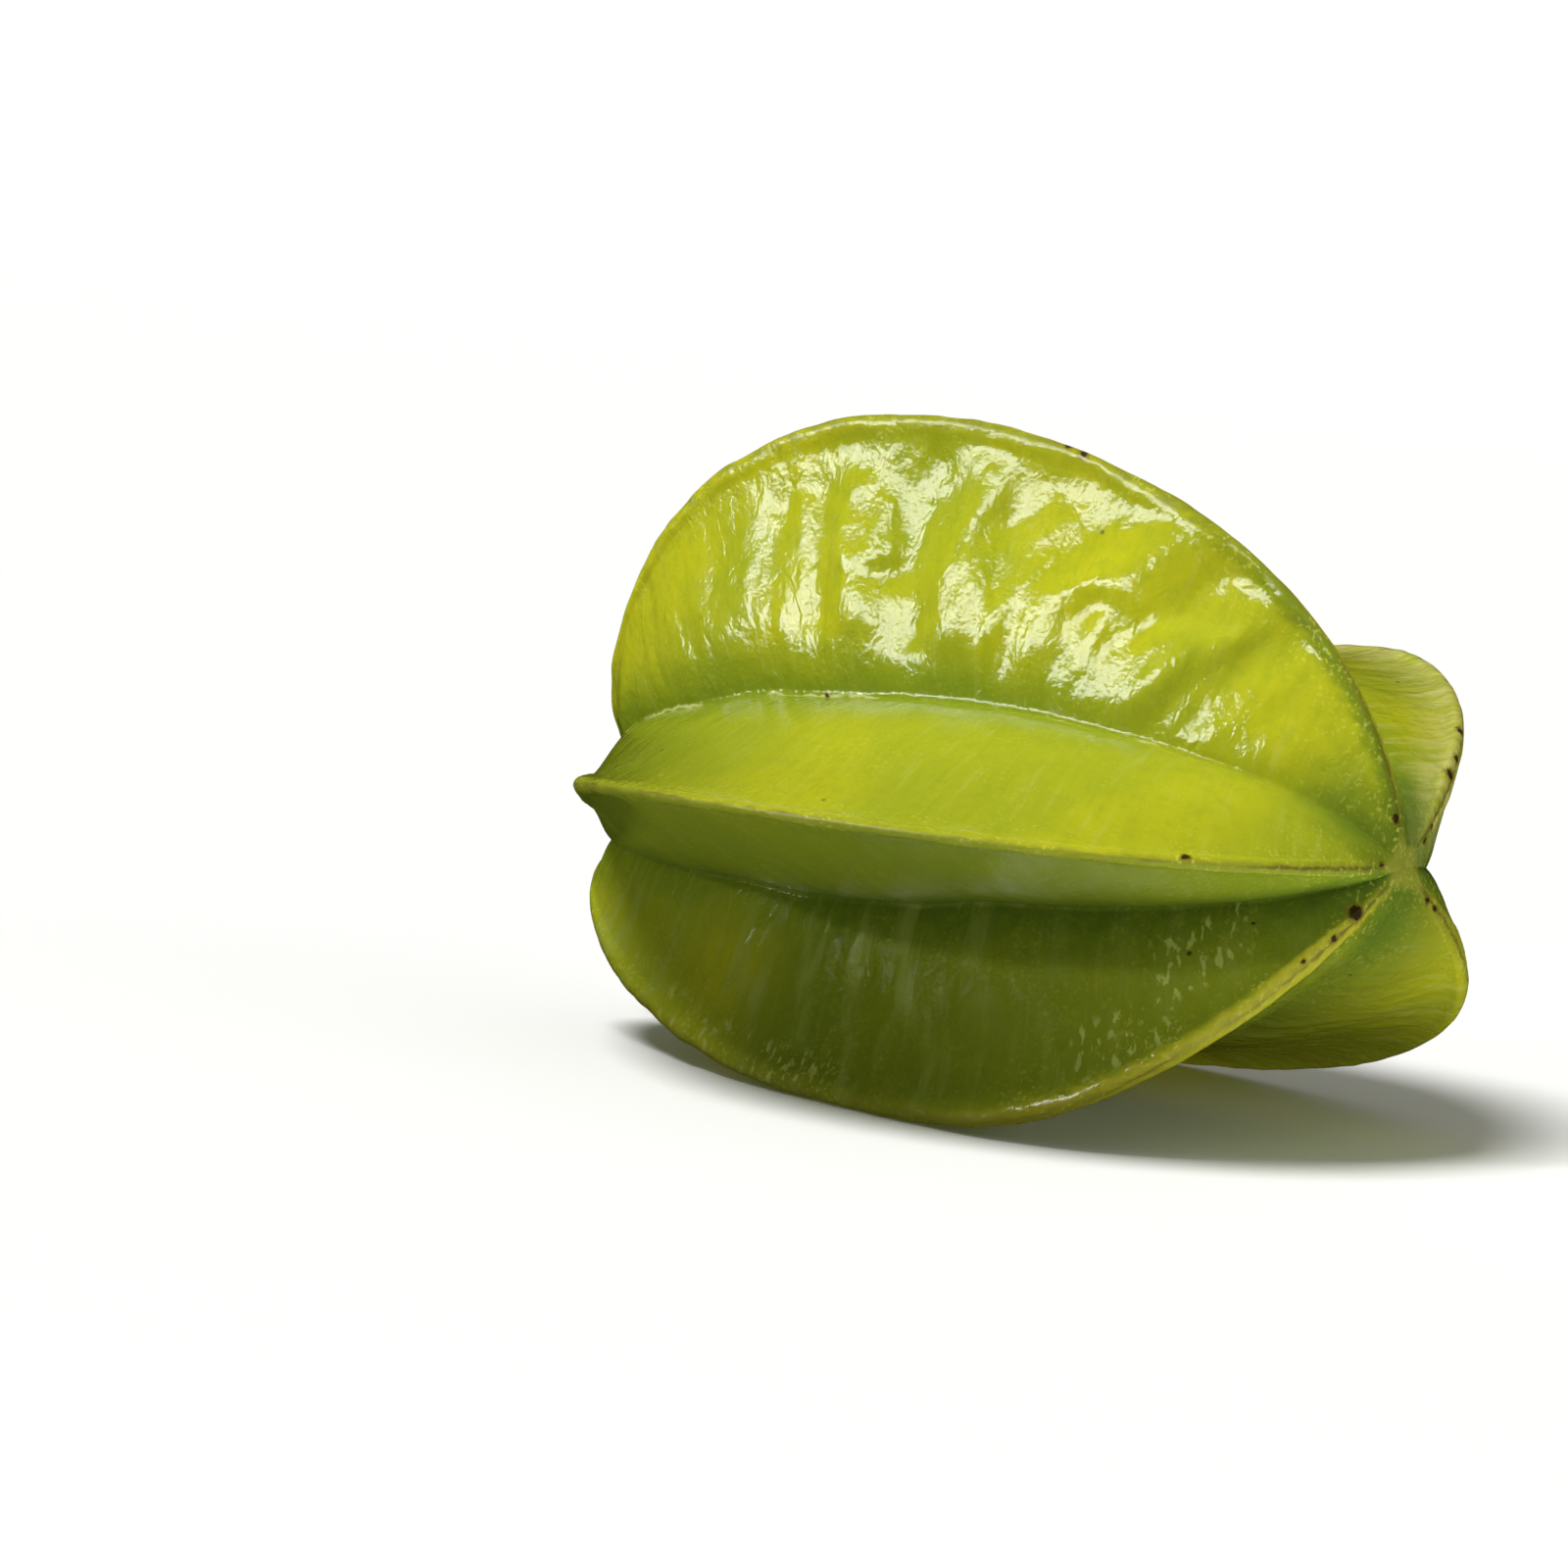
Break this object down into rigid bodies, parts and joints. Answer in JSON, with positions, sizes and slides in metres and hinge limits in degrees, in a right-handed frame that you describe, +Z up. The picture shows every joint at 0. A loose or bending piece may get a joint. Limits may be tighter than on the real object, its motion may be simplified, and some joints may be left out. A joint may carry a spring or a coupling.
{
  "type": "star fruit",
  "caption": "Whole star fruit (carambola) with ribs that run from the stem pit to the blossom tip, lying on two of its ribs.",
  "frame": {"origin": "on the ground under the middle of the bounding box", "axes": "+X along the fruit towards its blossom tip, +Z up, the fruit at rest on its two lower ribs"},
  "size_m": [0.1006, 0.0842, 0.0661],
  "materials": {
    "fruit_skin": "waxy, slightly translucent",
    "stem_wood": "dry, rough"
  },
  "bodies": {
    "root": {"fruit": "fruit_skin", "stem": "stem_wood"}
  },
  "joints": []
}
